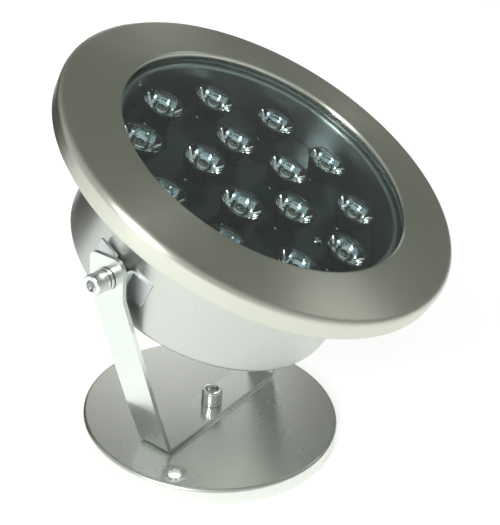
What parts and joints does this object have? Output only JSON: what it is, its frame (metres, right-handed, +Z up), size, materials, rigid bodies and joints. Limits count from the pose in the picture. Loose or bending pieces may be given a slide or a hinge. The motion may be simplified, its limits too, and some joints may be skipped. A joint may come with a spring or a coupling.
{
  "type": "underwater pool light",
  "caption": "Round stainless underwater LED light with a glazed lens window, tilting in a U bracket on a round screw-down foot.",
  "frame": {"origin": "on the standing surface, under the centre of the light's box in X and Y", "axes": "+Z up; the pivots lie along X; the beam leans towards -Y at rest"},
  "size_m": [0.18, 0.1658, 0.1833],
  "materials": {
    "brushed_stainless": "satin turned grain, warm grey",
    "pale_stainless": "smooth cold-rolled, pale",
    "bright_stainless": "bright machined",
    "tempered_glass": "clear, polished",
    "clear_lens": "clear moulded optic",
    "black_plastic": "satin black",
    "black_rubber": "matte",
    "clear_silicone": "translucent, satin",
    "board_black": "black solder mask",
    "board_green": "green solder mask",
    "bare_aluminium": "machined"
  },
  "bodies": {
    "base": {"base_plate": "brushed_stainless", "base_bolt": "bright_stainless", "base_nut": "bright_stainless", "base_spring_washer": "bright_stainless"},
    "bracket": {"bracket": "pale_stainless"},
    "head": {"bezel": "brushed_stainless", "housing": "brushed_stainless", "rim_flange": "brushed_stainless", "glass": "tempered_glass", "window_gasket": "clear_silicone", "inner_ring": "brushed_stainless", "led_board": "board_black", "lens_01": "clear_lens", "lens_02": "clear_lens", "lens_03": "clear_lens", "lens_04": "clear_lens", "lens_05": "clear_lens", "lens_06": "clear_lens", "lens_07": "clear_lens", "lens_08": "clear_lens", "lens_09": "clear_lens", "lens_10": "clear_lens", "lens_11": "clear_lens", "lens_12": "clear_lens", "lens_13": "clear_lens", "lens_14": "clear_lens", "lens_15": "clear_lens", "lens_holder_01": "black_plastic", "lens_holder_02": "black_plastic", "lens_holder_03": "black_plastic", "lens_holder_04": "black_plastic", "lens_holder_05": "black_plastic", "lens_holder_06": "black_plastic", "lens_holder_07": "black_plastic", "lens_holder_08": "black_plastic", "lens_holder_09": "black_plastic", "lens_holder_10": "black_plastic", "lens_holder_11": "black_plastic", "lens_holder_12": "black_plastic", "lens_holder_13": "black_plastic", "lens_holder_14": "black_plastic", "lens_holder_15": "black_plastic", "heat_sink": "bare_aluminium", "driver_board": "board_green", "gland_body": "bright_stainless", "gland_nut": "bright_stainless", "gland_seal": "black_rubber", "ear_left": "brushed_stainless", "pivot_nut_left": "bright_stainless", "pivot_friction_washer_left": "black_rubber", "pivot_flat_washer_left": "bright_stainless", "pivot_spring_washer_left": "bright_stainless", "pivot_bolt_left": "bright_stainless", "ear_right": "brushed_stainless", "pivot_nut_right": "bright_stainless", "pivot_friction_washer_right": "black_rubber", "pivot_flat_washer_right": "bright_stainless", "pivot_spring_washer_right": "bright_stainless", "pivot_bolt_right": "bright_stainless"}
  },
  "joints": [
    {"name": "bracket_pan", "type": "hinge", "parent": "base", "child": "bracket", "pos_m": [0, 0.01708, 0.00885], "axis": [0, 0, 1], "range_deg": [-180, 180]},
    {"name": "head_tilt", "type": "hinge", "parent": "bracket", "child": "head", "pos_m": [0, 0.01854, 0.1057], "axis": [1, 0, 0], "range_deg": [-116, 63]}
  ]
}
